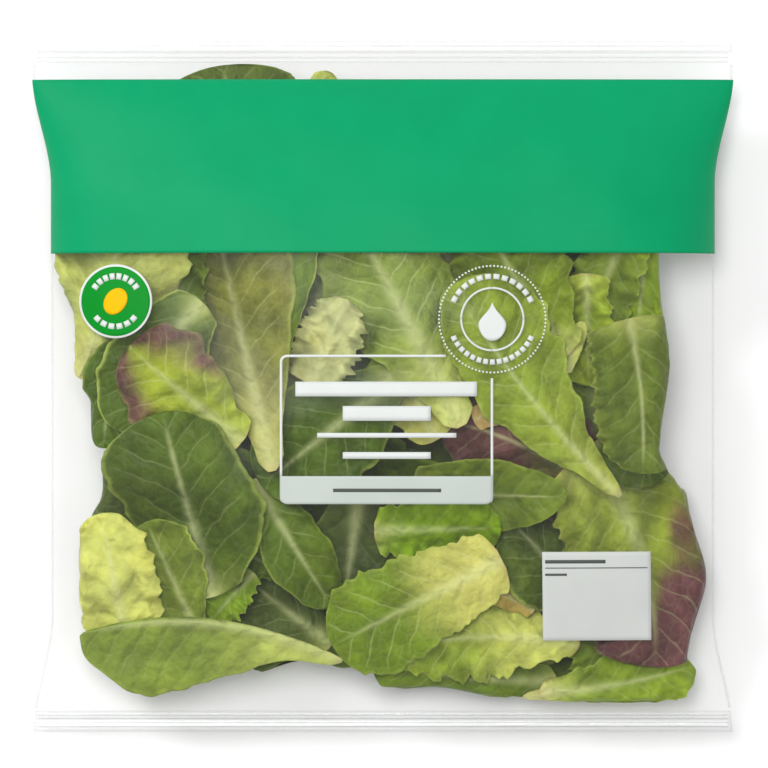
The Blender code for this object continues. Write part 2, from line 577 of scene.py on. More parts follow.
def film_strip(low_u, high_u, low_y, high_y, columns, rows, lift=0.10):
    """A thin body that lies on the front film between two shares of its width."""
    across, along = np.meshgrid(np.linspace(low_u, high_u, columns),
                                np.linspace(low_y, high_y, rows))
    x = across * half_width(along)
    z = front_height(across, along) + film_wrinkles(across, along) + seal_relief(along)
    top = np.stack([x, along, z + lift + MARK_THICK], -1)
    bottom = np.stack([x, along, z + lift], -1)
    return slab(top, bottom)


def make_film_marks():
    """Where clear film shows most: the pressed lines of the welds, and darker strips along the
    folded side edges that are partly the real fold and partly painted shade of film seen edge-on.
    """
    end = BAG_LENGTH / 2
    lines = [end - d for d in WELD_LINES_TOP] + [-end + d for d in WELD_LINES_BOTTOM]
    patches = [film_strip(-0.985, 0.985, y - WELD_LINE / 2, y + WELD_LINE / 2, 140, 2)
               for y in lines]
    inner, outer = SIDE_FOLD
    reach = end - SEAL_DEPTH - 1.0
    # Darker strips at the side edges: the real fold, with painted shade of film seen edge-on
    for low, high in ((-outer, -inner), (inner, outer)):
        patches.append(film_strip(low, high, -reach, reach, 3, 140))
    printed("film_marks", patches, film_material("pressed_and_edge_shade_film", 0.13, (0.40, 0.42, 0.41)))
    bands = [film_strip(-0.995, 0.995, end - WELD_LINES_TOP[0] + 0.4, end - 1.0, 140, 6, 0.05)]
    bands.append(film_strip(-0.995, 0.995, -end + 1.0, -end + SEAL_DEPTH, 140, 6, 0.05))
    printed("film_welds", bands, film_material("welded_film", 0.20, (0.70, 0.71, 0.71)))


# ---------------------------------------------------------------- print

def over_film(x, y, lift):
    """Points that follow the front film at a given height over it."""
    across = np.clip(x / half_width(y), -1.0, 1.0)
    z = front_height(across, y) + film_wrinkles(across, y) + lift
    return np.stack([x, y, z], -1)


def inked(x, y, level=0):
    """A printed patch from grids of places, as a thin body that follows the film."""
    low = INK_LIFT + level * INK_STEP
    return slab(over_film(x, y, low + INK_THICK), over_film(x, y, low))


def block(left, right, bottom, top, level=0, lean=0.0):
    """A printed rectangle; lean moves its lower edge to the right."""
    columns = max(int((right - left) / 1.5), 1) + 1
    rows = max(int((top - bottom) / 1.5), 1) + 1
    x, y = np.meshgrid(np.linspace(left, right, columns), np.linspace(bottom, top, rows))
    return inked(x + lean * (top - y) / (top - bottom), y, level)


def stroke(path, wide, level=0):
    """A printed line of even width along a path of points."""
    path = np.array(path, float)
    ahead = np.gradient(path, axis=0)
    ahead /= np.hypot(ahead[:, 0], ahead[:, 1])[:, None]
    side = np.stack([ahead[:, 1], -ahead[:, 0]], -1)
    offsets = np.array([-0.5, 0.5]) * wide
    spots = path[:, None, :] + side[:, None, :] * offsets[None, :, None]
    return inked(spots[..., 0], spots[..., 1], level)


def arc(centre, radius, start, stop, points):
    """Points along an arc, with its angles in degrees counter-clockwise from +X."""
    angle = np.radians(np.linspace(start, stop, points))
    return np.stack([centre[0] + radius * np.cos(angle), centre[1] + radius * np.sin(angle)], -1)


def ring(centre, radius, wide, level=0):
    """A printed circle line, as four arcs that share their ends."""
    quarter = [arc(centre, radius, start, start + 90.0, 16) for start in (0, 90, 180, 270)]
    return [stroke(path, wide, level) for path in quarter]


def disc(centre, radius, level=0, tall=1.0, lean=0.0, point=0.0):
    """A printed round patch; point draws its top out like a drop."""
    grid = np.linspace(-1.0, 1.0, max(int(radius * 2.2), 5))
    u, v = np.meshgrid(grid, grid)
    x = u * np.sqrt(1.0 - v ** 2 / 2)
    y = v * np.sqrt(1.0 - u ** 2 / 2)
    x = x * (1.0 - point * smooth(-0.2, 1.0, y))
    y = y * tall
    turn = math.radians(lean)
    x, y = x * math.cos(turn) - y * math.sin(turn), x * math.sin(turn) + y * math.cos(turn)
    return inked(centre[0] + radius * x, centre[1] + radius * y, level)


def dashes(centre, radius, start, stop, count, tall, level=0):
    """A row of plain printed dashes round an arc, where the real pack has small words."""
    step = (stop - start) / count
    return [stroke(arc(centre, radius, start + step * (k + 0.14), start + step * (k + 0.86), 4),
                   tall, level) for k in range(count)]


def make_band(material):
    """The plain colour field across the head of the bag, to both side edges."""
    y = np.linspace(BAND_LOW, BAND_HIGH, 60)
    u = np.sin(np.pi / 2 * np.linspace(-1.0, 1.0, 180))
    across, along = np.meshgrid(u, y)
    return printed("band", [inked(across * half_width(along), along)], material)


def panel_outline():
    """The title panel's outline, open where the round mark breaks its top right corner."""
    r = PANEL_ROUND
    left, right = PANEL_LEFT + LINE / 2, PANEL_RIGHT - LINE / 2
    top = PANEL_TOP - LINE / 2
    foot_top = PANEL_BOTTOM + PANEL_FOOT
    half_chord = math.sqrt(RING_OUTER ** 2 - (RING_CENTRE[1] - PANEL_TOP) ** 2)
    open_right = RING_CENTRE[0] - half_chord - 1.8
    open_below = RING_CENTRE[1] - RING_OUTER - 1.6
    path = [(left, y) for y in np.linspace(foot_top, top - r, 24)]
    path += list(arc((left + r, top - r), r, 180.0, 90.0, 8))[1:]
    path += [(x, top) for x in np.linspace(left + r, open_right, 30)][1:]
    side = [(right, y) for y in np.linspace(foot_top, open_below, 24)]
    return [stroke(path, LINE), stroke(side, LINE)]


def panel_foot():
    """The title panel's solid foot, with its two lower corners rounded off."""
    r = PANEL_ROUND
    y = np.linspace(PANEL_BOTTOM, PANEL_BOTTOM + PANEL_FOOT, 12)
    into_corner = np.clip(PANEL_BOTTOM + r - y, 0.0, r)
    inset = r - np.sqrt(np.clip(r ** 2 - into_corner ** 2, 0.0, None))
    share = np.linspace(0.0, 1.0, 52)
    wide = PANEL_RIGHT - PANEL_LEFT - 2 * inset
    x = PANEL_LEFT + inset[:, None] + wide[:, None] * share[None, :]
    return inked(x, np.repeat(y[:, None], len(share), 1))


def title_bars():
    """Plain bars where the real pack has its title and the lines under it."""
    return [block(middle - length / 2, middle + length / 2, level - tall / 2, level + tall / 2)
            for middle, length, level, tall in TITLE_BARS]


def round_mark_patches():
    """The round mark: a ring of dots, a ring of plain dashes, a thin ring and a drop."""
    patches = []
    for angle in np.arange(0.0, 360.0, 4.0):
        spot = arc(RING_CENTRE, RING_OUTER - 0.4, angle, angle + 1.0, 2)[0]
        patches.append(disc(spot, 0.36))
    patches += dashes(RING_CENTRE, RING_DASHES, 158.0, 22.0, 12, 1.9)
    patches += dashes(RING_CENTRE, RING_DASHES, 202.0, 338.0, 15, 1.9)
    patches += ring(RING_CENTRE, RING_INNER, 0.7)
    patches.append(disc((RING_CENTRE[0], RING_CENTRE[1] - 0.9), 5.0, tall=1.35, point=0.86))
    return patches


def badge_patches():
    """What is white on the small round badge: its rim and two rows of plain dashes."""
    words = dashes(BADGE_CENTRE, BADGE_DASHES, 152.0, 28.0, 8, 2.2, 2)
    words += dashes(BADGE_CENTRE, BADGE_DASHES, 214.0, 326.0, 6, 2.0, 2)
    return [disc(BADGE_CENTRE, BADGE_RADIUS)] + words


def make_badge():
    """The small round badge's green field and the plain oval on it."""
    printed("badge_field", [disc(BADGE_CENTRE, BADGE_RADIUS - 0.8, 1)],
            print_material("badge_ink", (0, 138, 36)))
    printed("badge_mark", [disc(BADGE_CENTRE, 3.9, 2, tall=1.3, lean=-35.0)],
            print_material("yellow_ink", (236, 184, 0)))


def date_box_patches():
    """What is dark on the date box: a thin rule and two short bars."""
    left = BOX_LEFT + BOX_MARGIN
    rule = block(left, BOX_RIGHT - BOX_MARGIN, BOX_TOP - 5.9, BOX_TOP - 5.6, 1)
    heading = block(left, left + 21.4, BOX_TOP - 4.1, BOX_TOP - 2.9, 1)
    label = block(left, left + 7.7, BOX_TOP - 8.5, BOX_TOP - 7.7, 1)
    return [rule, heading, label]


def make_print():
    """Everything printed on the front of the film."""
    make_band(print_material("band_ink", (0, 152, 98)))
    white = panel_outline() + title_bars() + round_mark_patches() + badge_patches()
    printed("white_print", white, print_material("white_ink", (217, 221, 218)))
    printed("panel_foot", [panel_foot()], print_material("foot_ink", (191, 200, 193)))
    make_badge()
    printed("date_box", [block(BOX_LEFT, BOX_RIGHT, BOX_BOTTOM, BOX_TOP, lean=0.5)],
            print_material("grey_ink", (203, 206, 202)))
    dark = date_box_patches() + [block(*FOOT_BAR, 1)]
    printed("dark_print", dark, print_material("dark_ink", (84, 88, 84)))


# ---------------------------------------------------------------- leaves

def filled_area(y):
    """Left and right limits of the leaves; the film beyond them is clear."""
    left = -104.0 - 4.5 * smooth(-38.0, -48.0, y) - 7.0 * smooth(-6.0, 4.0, y)
    left = left - 7.0 * smooth(26.0, 38.0, y)
    right = 98.0 + 4.0 * np.exp(-((y - 9.0) / 20.0) ** 2) + 10.5 * smooth(-22.0, -40.0, y)
    right = right + 7.0 * np.exp(-((y + 68.0) / 17.0) ** 2) + 5.0 * smooth(-96.0, -102.0, y)
    return left, right


def filled_foot(x):
    """Lower limit of the leaves, with a deep bay left of the middle and a shallow one right."""
    bay = 11.0 * np.exp(-((x + 28.0) / 20.0) ** 2)
    return FILL_BOTTOM + bay + 5.5 * np.exp(-((x - 18.0) / 20.0) ** 2)


def keep_inside(value, limit, sign):
    """Ease places that pass a limit back onto it, and say how far they were moved."""
    over = sign * (value - (limit - sign * FOLD_ZONE))
    eased = FOLD_ZONE * np.tanh(over.clip(0.0) / FOLD_ZONE)
    moved = np.where(over > 0.0, over - eased, 0.0)
    return value - sign * moved, moved


def tuck_in(xy, z, inset):
    """Turn down whatever part of a leaf would pass the filled area, less an inset."""
    x, y = xy[..., 0], xy[..., 1]
    y, down_top = keep_inside(y, FILL_TOP - 2.5 * inset, 1)
    y, down_bottom = keep_inside(y, filled_foot(x) + inset, -1)
    left, right = filled_area(y)
    x, down_right = keep_inside(x, right - inset, 1)
    x, down_left = keep_inside(x, left + inset, -1)
    down = down_top + down_bottom + down_left + down_right
    return np.stack([x, y], -1), z - 1.2 * down.clip(0.0, 14.0)


def outline(s, stem, belly, roundness):
    """Half width along a spoon-shaped leaf, as a share of its widest."""
    grown = stem + (1.0 - stem) * smooth(-0.04, belly, s) ** 1.1
    grown = grown * np.sqrt(smooth(-0.012, 0.05, s))
    beyond = np.clip((s - belly) / (1.0 - belly), 0.0, 1.0)
    return grown * np.sqrt(np.clip(1.0 - beyond ** roundness, 0.0, 1.0)) + 0.004


def sharp_folds(rng, count, along, across):
    """Sharp creases that run over a leaf at a slant, each raised or sunk, up to about 1."""
    total = np.zeros_like(along)
    for _ in range(count):
        turn = rng.uniform(-0.5, 0.5) * np.pi
        start = (rng.uniform(0.3, 0.9), rng.uniform(-0.32, 0.32))
        off = (along - start[0]) * math.sin(turn) + (across - start[1]) * math.cos(turn)
        down_line = (along - start[0]) * math.cos(turn) - (across - start[1]) * math.sin(turn)
        reach = np.exp(-(down_line / rng.uniform(0.15, 0.3)) ** 2)
        total += rng.choice((-1.0, 1.0)) * np.exp(-np.abs(off) / rng.uniform(0.03, 0.07)) * reach
    return np.clip(total, -1.2, 1.2)


def leaf_grid(leaf):
    """Shares of the way from a leaf's base to its tip, and from its right edge to its left."""
    rows, columns = FINE_GRID if leaf["fine"] else LOOSE_GRID
    even = np.linspace(0.0, 1.0, rows)
    s = even + 0.72 * (0.5 - 0.5 * np.cos(np.pi * even) - even)
    t = np.linspace(-1.0, 1.0, columns)
    return s, np.sign(t) * np.abs(t) ** 0.9


def half_blade(leaf, rng, s, reach, sign):
    """One side of a leaf, sign 1 on its left: offsets from the midrib, falls, and distances
    from the midrib over the blade. The side curls down, and its margin waves."""
    side = "left" if sign > 0 else "right"
    ragged = 1.0 + leaf["lobes"] * waves_1d(rng, leaf["waves"] * 0.9, s)
    ragged = ragged + leaf["rag"] * waves_1d(rng, 13.0, s) + 0.05 * waves_1d(rng, 1.3, s)
    margin = waves_1d(rng, leaf["waves"], s)
    ragged = ragged + 0.03 * leaf["ruffle"] * np.abs(margin)
    profile = outline(s, leaf["stem"], leaf["belly"] + sign * leaf["skew"], leaf["end"])
    half = (leaf["width"] / 2 * profile * leaf[side] * ragged)[:, None]

    fine = np.linspace(0.0, 1.0, 60)
    swing = 0.75 + 0.25 * np.sin(2 * np.pi * (s * 0.8 + rng.uniform()))
    swing = leaf["curl_" + side] * swing
    angle = swing[:, None] * smooth(leaf["hinge"] - 0.35, 1.0, fine)[None, :]
    step = half / (len(fine) - 1)
    out = np.cumsum(np.cos(angle) * step, 1) - np.cos(angle[:, :1]) * step
    down = np.cumsum(np.sin(angle) * step, 1) - np.sin(angle[:, :1]) * step
    offset = np.stack([np.interp(reach, fine, row) for row in out])
    fall = np.stack([np.interp(reach, fine, row) for row in down])
    frill = margin[:, None] * reach[None, :] ** 2.6
    fall = fall - leaf["ruffle"] * frill * smooth(0.05, 0.4, s)[:, None]
    return sign * offset, fall, sign * half * reach[None, :]


def whole_blade(leaf, rng, s, t):
    """Both sides of a leaf joined at its midrib: offsets, falls and distances."""
    middle = len(t) // 2
    right = half_blade(leaf, rng, s, np.abs(t[:middle + 1]), -1)
    left = half_blade(leaf, rng, s, t[middle:], 1)
    return [np.concatenate([a[:, :-1], b], 1) for a, b in zip(right, left)]


def leaf_plan(leaf, s, offset):
    """Where a leaf's points lie on the table, out from its bowed midrib, and its length."""
    base = np.array(leaf["base"], float)
    tip = np.array(leaf["tip"], float)
    length = float(np.hypot(*(tip - base)))
    forward = (tip - base) / length
    left = np.array([-forward[1], forward[0]])
    bend = leaf["bow"] * 4.0 * s * (1.0 - s)
    slope = leaf["bow"] * 4.0 * (1.0 - 2.0 * s) / length
    norm = np.sqrt(1.0 + slope ** 2)
    along = s * length - offset * slope / norm
    aside = bend + offset / norm
    return base + along[..., None] * forward + aside[..., None] * left, length


def blade_sides(leaf, s, spread, reach):
    """How far the blade stands over and under its middle surface, and where its midrib shows."""
    stalk = min(leaf["stem"], 0.3) * leaf["width"]
    rib_wide = leaf["rib"] * (0.5 + 0.3 * stalk * (1.0 - s) ** 1.5)
    ridge = np.exp(-(spread / rib_wide) ** 2)
    rib_high = leaf["rib"] * (0.25 + 2.3 * (1.0 - s) ** 1.6) * ridge
    over_share = 0.25 if leaf["side"] > 0 else 0.75
    taper = smooth(1.0, 0.9, reach) * 0.7 + 0.3
    upper = (BLADE / 2 + rib_high * over_share) * taper
    lower = (BLADE / 2 + rib_high * (1.0 - over_share)) * taper
    shown = np.exp(-(spread / (rib_wide * 0.9)) ** 2) * smooth(1.02, 0.75, s)
    return upper, lower, shown


def leaf_shape(leaf, rng):
    """A leaf's middle surface with its relief, its thickness and where each point lies on it."""
    s_line, t_line = leaf_grid(leaf)
    s, t = np.meshgrid(s_line, t_line, indexing="ij")
    reach = np.abs(t)
    offset, fall, spread = whole_blade(leaf, rng, s_line, t_line)
    xy, length = leaf_plan(leaf, s, offset)
    run = s * length

    coarse = waves_2d(rng, leaf["bumps"], run, spread) * (0.35 + 0.65 * reach ** 0.5)
    blister = waves_2d(rng, BLISTER, run, spread, 9) * reach ** 0.5
    folds = sharp_folds(rng, leaf["folds"], run / length, spread / leaf["width"])
    # How high each point stands among its bumps, curls and folds; only the colour uses it, as
    # painted shade
    relief = 0.5 * coarse + 0.35 * blister - 0.35 * fall / max(leaf["ruffle"], 0.5) + 0.8 * folds
    z = leaf["crumple"] * (coarse + 0.20 * blister) - fall
    z += leaf["fold_high"] * folds
    xy, z = tuck_in(xy, z, 0.0 if leaf["fine"] else LOOSE_INSET)
    z -= leaf["arch"] * (2.0 * s - 1.0) ** 2
    z -= leaf["tip_drop"] * smooth(0.55, 1.0, s)
    z -= leaf["base_drop"] * smooth(0.45, 0.0, s)
    z -= 0.5 * np.exp(-(spread / 3.0) ** 2) * leaf["side"]
    upper, lower, midrib = blade_sides(leaf, s, spread, reach)
    return {"xy": xy, "z": z, "upper": upper, "lower": lower, "s": s, "t": t, "run": run,
            "spread": spread, "midrib": midrib, "relief": np.tanh(relief)}


def leaf_colour(leaf, shape, rng):
    """Colour of each point of a leaf: pale at the heart, its own tone on the blade, lighter where
    the blade stands high and darker in its hollows and folds as painted shade.
    """
    s, reach = shape["s"], np.abs(shape["t"])
    cloud = waves_2d(rng, 22.0, shape["run"], shape["spread"])
    # Painted shade: the random tone is lightened where the blade stands high and darkened in its
    # hollows and folds, on the red flush too
    relief = shape["relief"] * min(leaf["crumple"], 1.6)
    warm = np.array([1.2, 1.0, 0.5])
    tone_and_shade = 0.13 * cloud[..., None] * warm + 0.17 * relief[..., None]
    tone = rgb(*leaf["tone"]) * (1.0 + tone_and_shade)
    pale = rgb(*leaf["pale"])
    blade = smooth(leaf["heart"] - 0.22, leaf["heart"] + 0.26, s + 0.10 * reach + 0.05 * cloud)
    colour = mix(np.broadcast_to(pale, tone.shape), tone, blade)
    if leaf["red"]:
        flushed = smooth(leaf["red_from"] - 0.11, leaf["red_from"] + 0.13,
                         leaf["red_along"] * s + leaf["red_out"] * reach
                         + 0.09 * cloud + 0.04 * relief)
        flush = rgb(*FLUSH_COLOUR) * (1.0 + 0.9 * tone_and_shade)
        colour = mix(colour, flush, flushed * leaf["red"])
    if leaf["rim"]:
        colour = mix(colour, rgb(*RIM_COLOUR), leaf["rim"] * smooth(0.90, 0.99, reach))
    cut = smooth(0.035, 0.0, s)
    return mix(colour, rgb(*CUT_COLOUR), leaf["cut"] * cut) * LEAF_BALANCE


def erode(field, reach):
    """Lowest value within a square of cells."""
    for axis in (0, 1):
        best = field.copy()
        for shift in range(1, reach + 1):
            for sign in (-1, 1):
                best = np.minimum(best, np.roll(field, sign * shift, axis))
        field = best
    return field


def blur(field, known, reach):
    """Mean of the known values within a square of cells."""
    total = np.where(known, field, 0.0)
    weight = known.astype(float)
    for axis in (0, 1):
        sums, counts = total.copy(), weight.copy()
        for shift in range(1, reach + 1):
            for sign in (-1, 1):
                sums = sums + np.roll(total, sign * shift, axis)
                counts = counts + np.roll(weight, sign * shift, axis)
        total, weight = sums, counts
    return total / np.maximum(weight, 1e-9)


def cells(x, y):
    """Row and column of the field cell that holds each point."""
    column = np.clip(np.round((x - FIELD_X[0]) / CELL).astype(int), 0, len(FIELD_X) - 1)
    row = np.clip(np.round((y - FIELD_Y[0]) / CELL).astype(int), 0, len(FIELD_Y) - 1)
    return row, column


def denser(grid):
    """A grid of values with the midpoints added both ways."""
    for axis in (0, 1):
        a = np.take(grid, range(grid.shape[axis] - 1), axis)
        b = np.take(grid, range(1, grid.shape[axis]), axis)
        shape = list(grid.shape)
        shape[axis] = 2 * grid.shape[axis] - 1
        wider = np.empty(shape)
        pick = [slice(None)] * grid.ndim
        pick[axis] = slice(0, None, 2)
        wider[tuple(pick)] = grid
        pick[axis] = slice(1, None, 2)
        wider[tuple(pick)] = (a + b) / 2
        grid = wider
    return grid


def sample(field, x, y):
    """Bilinear values of a field at points."""
    fx = np.clip((x - FIELD_X[0]) / CELL, 0, len(FIELD_X) - 1.001)
    fy = np.clip((y - FIELD_Y[0]) / CELL, 0, len(FIELD_Y) - 1.001)
    ix, iy = fx.astype(int), fy.astype(int)
    dx, dy = fx - ix, fy - iy
    low = field[iy, ix] * (1 - dx) + field[iy, ix + 1] * dx
    high = field[iy + 1, ix] * (1 - dx) + field[iy + 1, ix + 1] * dx
    return low * (1 - dy) + high * dy


class Stack:
    """Leaves laid one under another from a ceiling down, or upside down from a floor up."""

    def __init__(self, sign):
        grid_x, grid_y = np.meshgrid(FIELD_X, FIELD_Y)
        inside_front = front_at(grid_x, grid_y) - FILM_CLEARANCE
        inside_back = back_at(grid_x, grid_y) + FILM_CLEARANCE
        self.sign = sign
        self.limit = inside_front if sign > 0 else -inside_back
        self.other = inside_back if sign > 0 else -inside_front
        self.skin = self.limit.copy()

    def lay(self, leaf, shape):
        """Set a leaf's heights so that it lies under everything laid before it."""
        x, y = shape["xy"][..., 0], shape["xy"][..., 1]
        z = shape["z"]
        row, column = cells(denser(x), denser(y))
        room = np.full(self.limit.shape, np.inf)
        need = self.limit[row, column] - denser(z + shape["upper"])
        np.minimum.at(room, (row, column), need)
        tight = erode(room, STIFF)
        known = np.isfinite(tight)
        even = blur(np.where(known, tight, 0.0), known, STIFF // 2)
        even = blur(even, known, STIFF // 2)
        level = sample(even, x, y) - LEAF_GAP - leaf["drop"]
        placed = level + z
        roof = sample(self.limit, x, y) - shape["upper"] - LEAF_GAP / 2
        placed = np.minimum(placed, roof)
        placed = np.maximum(placed, sample(self.other, x, y) + shape["lower"] + 0.2)
        placed = np.minimum(placed, sample(self.skin, x, y) - shape["upper"])
        under = denser(placed - shape["lower"])
        np.minimum.at(self.limit, (row, column), under)
        return placed


def leaf_mesh(leaf, stack, number):
    """Points, faces and values of one leaf, laid in its stack."""
    rng = np.random.default_rng(1000 + 17 * number)
    shape = leaf_shape(leaf, rng)
    placed = stack.lay(leaf, shape)
    upper = np.concatenate([shape["xy"], (placed + shape["upper"])[..., None]], -1)
    lower = np.concatenate([shape["xy"], (placed - shape["lower"])[..., None]], -1)
    flip = np.array([1.0, 1.0, stack.sign])
    upper, lower = upper * flip, lower * flip
    if stack.sign < 0:
        upper, lower = lower, upper
    # Rows run from base to tip and columns from right to left, so faces are turned over
    points, quads = slab(upper, lower)
    quads = quads[:, ::-1]
    colour = leaf_colour(leaf, shape, rng)
    seed = np.full_like(shape["s"], rng.uniform(0.0, 9.0))
    place = np.stack([shape["run"], shape["spread"], seed], -1)
    show = np.full_like(shape["s"], leaf["veins"] * VEIN_SHARE)
    extra = np.stack([np.abs(shape["t"]), shape["midrib"], show], -1)
    both = [np.concatenate([v.reshape(-1, v.shape[-1])] * 2) for v in (colour, place, extra)]
    return points, quads, both, shape["s"].shape


def atlas(shapes, quads_of):
    """Bake coordinates that give each side of each leaf its own cell of a square."""
    across = math.ceil(math.sqrt(2 * len(shapes)))
    pitch = 1.0 / across
    edge = 0.06 * pitch
    parts = []
    cell = 0
    for (rows, columns), quads in zip(shapes, quads_of):
        v, u = np.meshgrid(np.linspace(0, 1, rows), np.linspace(0, 1, columns), indexing="ij")
        flat = np.stack([u.ravel(), v.ravel()], -1) * (pitch - 2 * edge) + edge
        corner = [np.array([k % across, k // across]) * pitch for k in (cell, cell + 1)]
        cell += 2
        per_point = np.concatenate([flat + corner[0], flat + corner[1]])
        faces = per_point[quads]
        walls = 2 * (rows - 1) * (columns - 1)
        on_top = quads[walls:] < rows * columns
        base = flat[quads[walls:] % (rows * columns)]
        centre = np.array([pitch / 2, pitch / 2])
        pushed = centre + (base - centre) * (1.0 + 0.6 * edge / (pitch / 2 - edge))
        faces[walls:] = np.where(on_top[..., None], base, pushed) + corner[0]
        parts.append(faces.reshape(-1, 2))
    return np.concatenate(parts)


def leaf_piece(name, meshes, material):
    """Join laid leaves of one kind into one piece."""
    points, quads, values, shapes, own = [], [], [[], [], []], [], []
    start = 0
    for pts, faces, both, shape in meshes:
        points.append(pts)
        quads.append(faces + start)
        own.append(faces)
        shapes.append(shape)
        start += len(pts)
        for store, value in zip(values, both):
            store.append(value)
    piece = new_object(name, np.concatenate(points), np.concatenate(quads), material)
    colour, place, extra = [np.concatenate(store) for store in values]
    opaque = np.concatenate([colour, np.ones((len(colour), 1))], 1)
    # The tint is each point's colour with its painted shade
    add_values(piece, "tint", "FLOAT_COLOR", opaque.clip(0.0, 1.0))
    add_values(piece, "place", "FLOAT_VECTOR", place)
    add_values(piece, "extra", "FLOAT_VECTOR", extra)
    layer = piece.data.uv_layers.new(name="OFBake")
    layer.uv.foreach_set("vector", atlas(shapes, own).astype(np.float32).ravel())
    return piece


def leaf(group, tone, base, tip, width, **more):
    """One leaf: its piece, blade tone, base and tip in the bag's plane, and width."""
    made = dict(LEAF_FORM, **LEAF_TONES, group=group, tone=tone, base=base, tip=tip, width=width)
    made.update(more)
    return made


